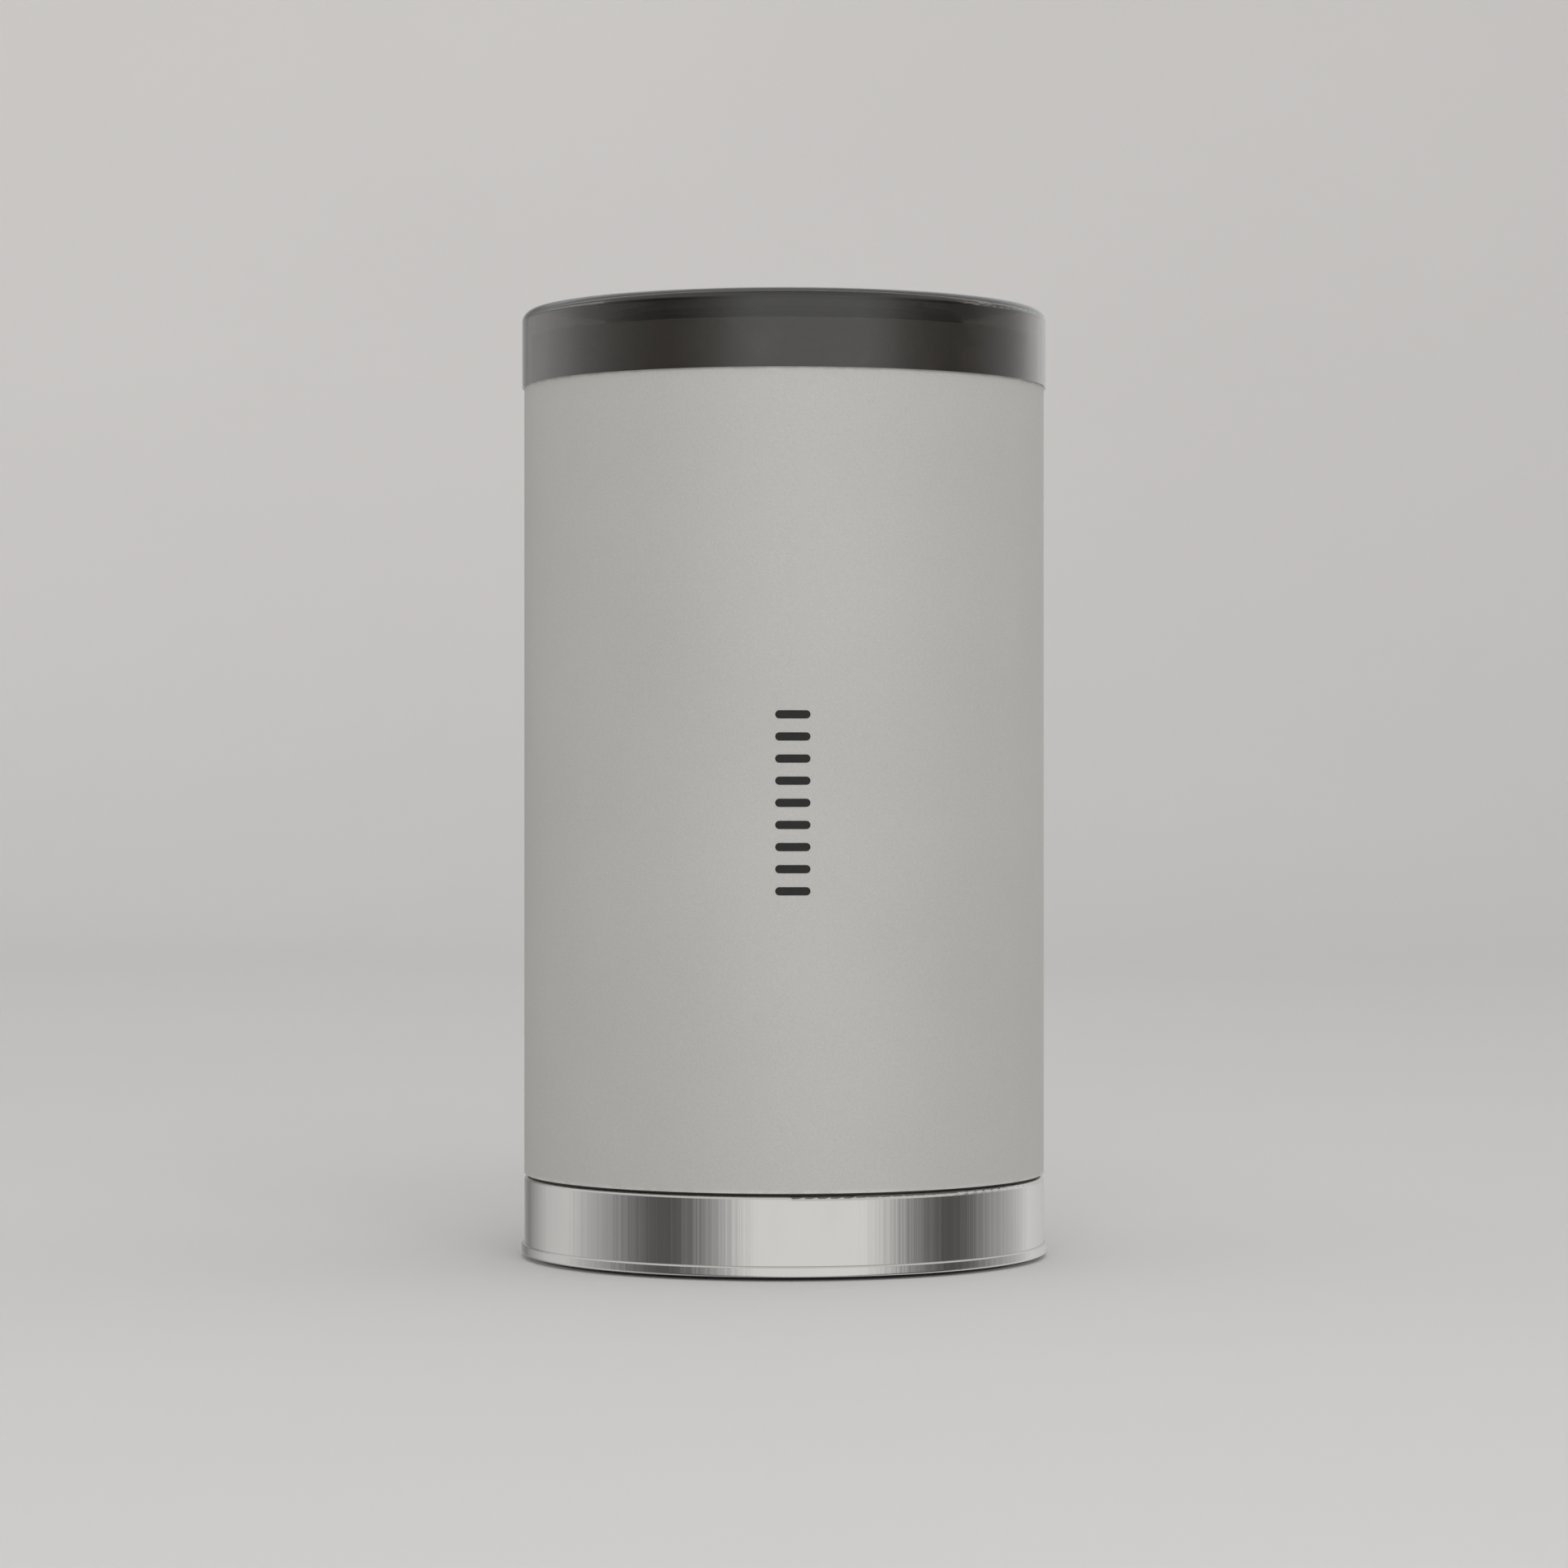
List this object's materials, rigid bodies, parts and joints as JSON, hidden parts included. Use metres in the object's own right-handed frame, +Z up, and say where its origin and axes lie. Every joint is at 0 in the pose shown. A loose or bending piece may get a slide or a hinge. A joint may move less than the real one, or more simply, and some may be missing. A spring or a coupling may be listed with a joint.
{
  "type": "video projector",
  "caption": "Can-shaped portable video projector with an upward lens under a smoked cap, a polished base ring, a fold-out stand and a focus wheel.",
  "frame": {"origin": "on the floor under the body's axis, at the underside of the rubber foot ring", "axes": "+Z up along the optical axis, out of the lens; +Y to the back, where the stand and the tripod thread are; the plain front faces -Y"},
  "size_m": [0.1004, 0.1004, 0.18],
  "materials": {
    "silver_shell": "fine matt texture",
    "smoked_acrylic": "polished smoked acrylic",
    "polished_ring": "mirror polish",
    "black_moulding": "moulded black",
    "gloss_black": "gloss",
    "rubber": "matt",
    "steel": "satin",
    "brass": "turned",
    "aluminium": "extruded",
    "board_green": "solder mask",
    "lens_glass": "coated",
    "lamp_chip": "phosphor",
    "flat_cable": "polyimide film",
    "paper_cone": "pressed paper",
    "gear_plastic": "natural acetal"
  },
  "bodies": {
    "casing": {"body_sleeve": "silver_shell", "smoked_cap": "smoked_acrylic", "base_ring": "polished_ring", "rear_cover": "black_moulding", "foot_ring": "rubber", "rear_frame": "black_moulding", "front_frame": "black_moulding", "lens_bezel": "gloss_black", "side_feet": "rubber", "stand_tray": "black_moulding", "stand_hinge_pin": "steel", "tripod_nut": "brass", "heat_sink": "aluminium", "lamp_board": "aluminium", "lamp_chip": "lamp_chip", "fan_shroud": "black_moulding", "fan_frame": "black_moulding", "optics_housing": "black_moulding", "condenser_lens": "lens_glass", "collimator_sheet": "lens_glass", "collimator_holder": "black_moulding", "picture_panel": "lens_glass", "panel_holder": "black_moulding", "field_lens_sheet": "lens_glass", "field_lens_holder": "black_moulding", "lens_tube": "black_moulding", "focus_wheel_axle": "steel", "button_board": "board_green", "main_board": "board_green", "hdmi_socket": "steel", "usb_socket": "steel", "power_socket": "gloss_black", "audio_socket": "gloss_black", "driver_board": "board_green", "ribbon_cables": "flat_cable", "sensor_board": "board_green", "speaker_frame": "steel", "speaker_cone": "paper_cone", "speaker_magnet": "steel", "cover_screws": "steel", "case_screws": "steel", "board_screws": "steel", "fan_screws": "steel"},
    "stand": {"stand_leaf": "silver_shell", "stand_foot_pad": "rubber"},
    "focus_wheel": {"focus_wheel": "black_moulding"},
    "focus_ring": {"focus_ring_gear": "gear_plastic"},
    "lens_group": {"lens_barrel": "black_moulding", "front_lens": "lens_glass", "front_lens_ring": "black_moulding", "middle_lens": "lens_glass", "lens_spacer": "black_moulding", "rear_lens": "lens_glass", "rear_lens_ring": "black_moulding"},
    "fan": {"fan_rotor": "black_moulding", "fan_shaft": "steel"},
    "power_key": {"power_button": "gloss_black"},
    "volume_up_key": {"volume_up_button": "gloss_black"},
    "volume_down_key": {"volume_down_button": "gloss_black"}
  },
  "joints": [
    {"name": "stand_hinge", "type": "hinge", "parent": "casing", "child": "stand", "pos_m": [0, 0.0446, 0.148], "axis": [1, 0, 0], "range_deg": [0, 70]},
    {"name": "focus_wheel_turn", "type": "hinge", "parent": "casing", "child": "focus_wheel", "pos_m": [0.03464, 0.02, 0.144], "axis": [0, 0, 1], "range_deg": [-170, 170]},
    {"name": "focus_ring_turn", "type": "hinge", "parent": "casing", "child": "focus_ring", "pos_m": [0, 0, 0.15], "axis": [0, 0, 1], "range_deg": [-30.5, 30.5]},
    {"name": "lens_focus_slide", "type": "slide", "parent": "casing", "child": "lens_group", "axis": [0, 0, 1], "range_m": [-0.003, 0.003]},
    {"name": "fan_spin", "type": "hinge", "parent": "casing", "child": "fan", "pos_m": [0.02858, 0.0165, 0.0475], "axis": [0.866, 0.5, 0], "continuous": true},
    {"name": "power_press", "type": "slide", "parent": "casing", "child": "power_key", "axis": [0.866, -0.5, 0], "range_m": [0, 0.0008], "stiffness_N_per_m": 1500, "springref_m": -0.0003},
    {"name": "volume_up_press", "type": "slide", "parent": "casing", "child": "volume_up_key", "axis": [0.866, -0.5, 0], "range_m": [0, 0.0008], "stiffness_N_per_m": 1500, "springref_m": -0.0003},
    {"name": "volume_down_press", "type": "slide", "parent": "casing", "child": "volume_down_key", "axis": [0.866, -0.5, 0], "range_m": [0, 0.0008], "stiffness_N_per_m": 1500, "springref_m": -0.0003}
  ],
  "couplings": [
    {"joint": "focus_wheel_turn", "follows": "lens_focus_slide", "rad_per_m": 989.02},
    {"joint": "focus_ring_turn", "follows": "lens_focus_slide", "rad_per_m": -174.53}
  ]
}
